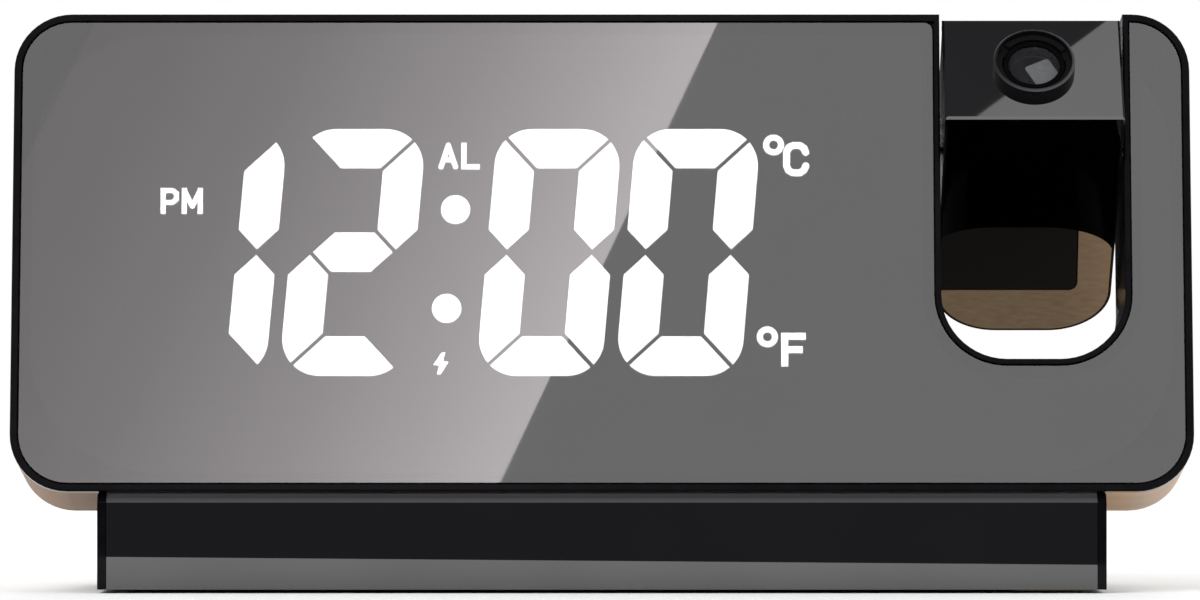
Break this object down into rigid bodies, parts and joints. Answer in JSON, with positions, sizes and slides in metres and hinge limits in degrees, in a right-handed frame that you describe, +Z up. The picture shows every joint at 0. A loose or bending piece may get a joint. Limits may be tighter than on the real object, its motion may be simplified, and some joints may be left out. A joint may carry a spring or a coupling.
{
  "type": "projection alarm clock",
  "caption": "Mirror-faced table clock with lit figures on a wedge base; a projector arm tilts in a slot at the right, with a focusing lens.",
  "frame": {"origin": "middle of the anti-slip pad's underside, on the table", "axes": "+X to the right as seen from the front, +Y away from the viewer, +Z up"},
  "size_m": [0.188, 0.0553, 0.0922],
  "materials": {
    "black_gloss_plastic": "high gloss",
    "mirror_sheet": "half-mirror, dark tint",
    "taupe_satin_plastic": "satin, fine horizontal grain",
    "plated_screw": "zinc plated",
    "lit_diffuser": "milky, lit from behind",
    "unlit_diffuser": "milky, unlit",
    "black_light_guide": "matt black",
    "circuit_board": "solder mask",
    "led_package": "phosphor",
    "chip_epoxy": "matt",
    "connector_plastic": "moulded nylon",
    "switch_housing": "moulded",
    "plated_steel": "bright plated",
    "cell_foil": "foil pouch",
    "speaker_frame": "stamped steel",
    "sensor_epoxy": "epoxy bead",
    "acetal_bush": "satin",
    "pin_steel": "turned",
    "black_button": "satin",
    "black_matte_plastic": "fine texture",
    "black_rubber": "matt",
    "ballast_steel": "sheared plate",
    "optical_glass": "clear, coated",
    "mask_glass": "dark",
    "board_aluminium": "bare",
    "sink_aluminium": "anodised",
    "cable_jacket": "soft"
  },
  "bodies": {
    "clock": {"front_bezel": "black_gloss_plastic", "mirror_panel": "mirror_sheet", "rear_shell": "taupe_satin_plastic", "rear_shell_screws": "plated_screw", "display_reflector": "black_light_guide", "lit_segments": "lit_diffuser", "unlit_segments": "unlit_diffuser", "lit_signs": "lit_diffuser", "sign_mask": "black_light_guide", "display_board": "circuit_board", "display_leds": "led_package", "main_board": "circuit_board", "board_screws": "plated_screw", "board_link": "connector_plastic", "board_chips": "chip_epoxy", "button_switches": "switch_housing", "power_inlet": "plated_steel", "battery_pack": "cell_foil", "speaker": "speaker_frame", "temperature_sensor": "sensor_epoxy", "hinge_bush_left": "acetal_bush", "hinge_bush_right": "acetal_bush", "cable_socket": "connector_plastic", "base_housing": "black_gloss_plastic", "base_fascia": "mirror_sheet", "base_bottom_cover": "black_matte_plastic", "anti_slip_pad": "black_rubber", "base_cover_screws": "plated_screw", "ballast_weight": "ballast_steel", "body_to_base_screws": "plated_screw"},
    "projector": {"projector_case": "black_gloss_plastic", "arm_mirror": "mirror_sheet", "projector_end_plate": "mirror_sheet", "pivot_pin_left": "pin_steel", "pivot_pin_right": "pin_steel", "pivot_washers": "pin_steel", "lamp_house": "black_matte_plastic", "projection_mask": "mask_glass", "condenser_lens": "optical_glass", "lamp_board": "board_aluminium", "projector_led": "led_package", "heat_sink": "sink_aluminium", "projector_case_screws": "plated_screw", "projector_cable": "cable_jacket"},
    "focus_ring": {"focus_ring": "black_matte_plastic"},
    "lens_cell": {"lens_cell": "black_matte_plastic", "focus_lens": "optical_glass", "lens_retainer": "black_matte_plastic"},
    "button_mode": {"button_mode": "black_button"},
    "button_up": {"button_up": "black_button"},
    "button_down": {"button_down": "black_button"},
    "button_alarm": {"button_alarm": "black_button"},
    "button_projector": {"button_projector": "black_button"}
  },
  "joints": [
    {"name": "projector_tilt", "type": "hinge", "parent": "clock", "child": "projector", "pos_m": [0.0687, 0.00003, 0.07276], "axis": [1, 0, 0], "range_deg": [-150.7, 29.3]},
    {"name": "focus_turn", "type": "hinge", "parent": "projector", "child": "focus_ring", "pos_m": [0.0687, -0.01526, 0.08232], "axis": [0, -0.7771, 0.6293], "range_deg": [-90, 90]},
    {"name": "lens_focus", "type": "slide", "parent": "projector", "child": "lens_cell", "axis": [0, -0.7771, 0.6293], "range_m": [-0.001, 0.001]},
    {"name": "mode_press", "type": "slide", "parent": "clock", "child": "button_mode", "axis": [0, -0.9857, 0.1685], "range_m": [0, 0.0007], "stiffness_N_per_m": 400, "springref_m": -0.0008},
    {"name": "up_press", "type": "slide", "parent": "clock", "child": "button_up", "axis": [0, -0.9857, 0.1685], "range_m": [0, 0.0007], "stiffness_N_per_m": 400, "springref_m": -0.0008},
    {"name": "down_press", "type": "slide", "parent": "clock", "child": "button_down", "axis": [0, -0.9857, 0.1685], "range_m": [0, 0.0007], "stiffness_N_per_m": 400, "springref_m": -0.0008},
    {"name": "alarm_press", "type": "slide", "parent": "clock", "child": "button_alarm", "axis": [0, -0.9857, 0.1685], "range_m": [0, 0.0007], "stiffness_N_per_m": 400, "springref_m": -0.0008},
    {"name": "projector_press", "type": "slide", "parent": "clock", "child": "button_projector", "axis": [0, -0.9857, 0.1685], "range_m": [0, 0.0007], "stiffness_N_per_m": 400, "springref_m": -0.0008}
  ],
  "couplings": [
    {"joint": "focus_turn", "follows": "lens_focus", "rad_per_m": 1500}
  ]
}
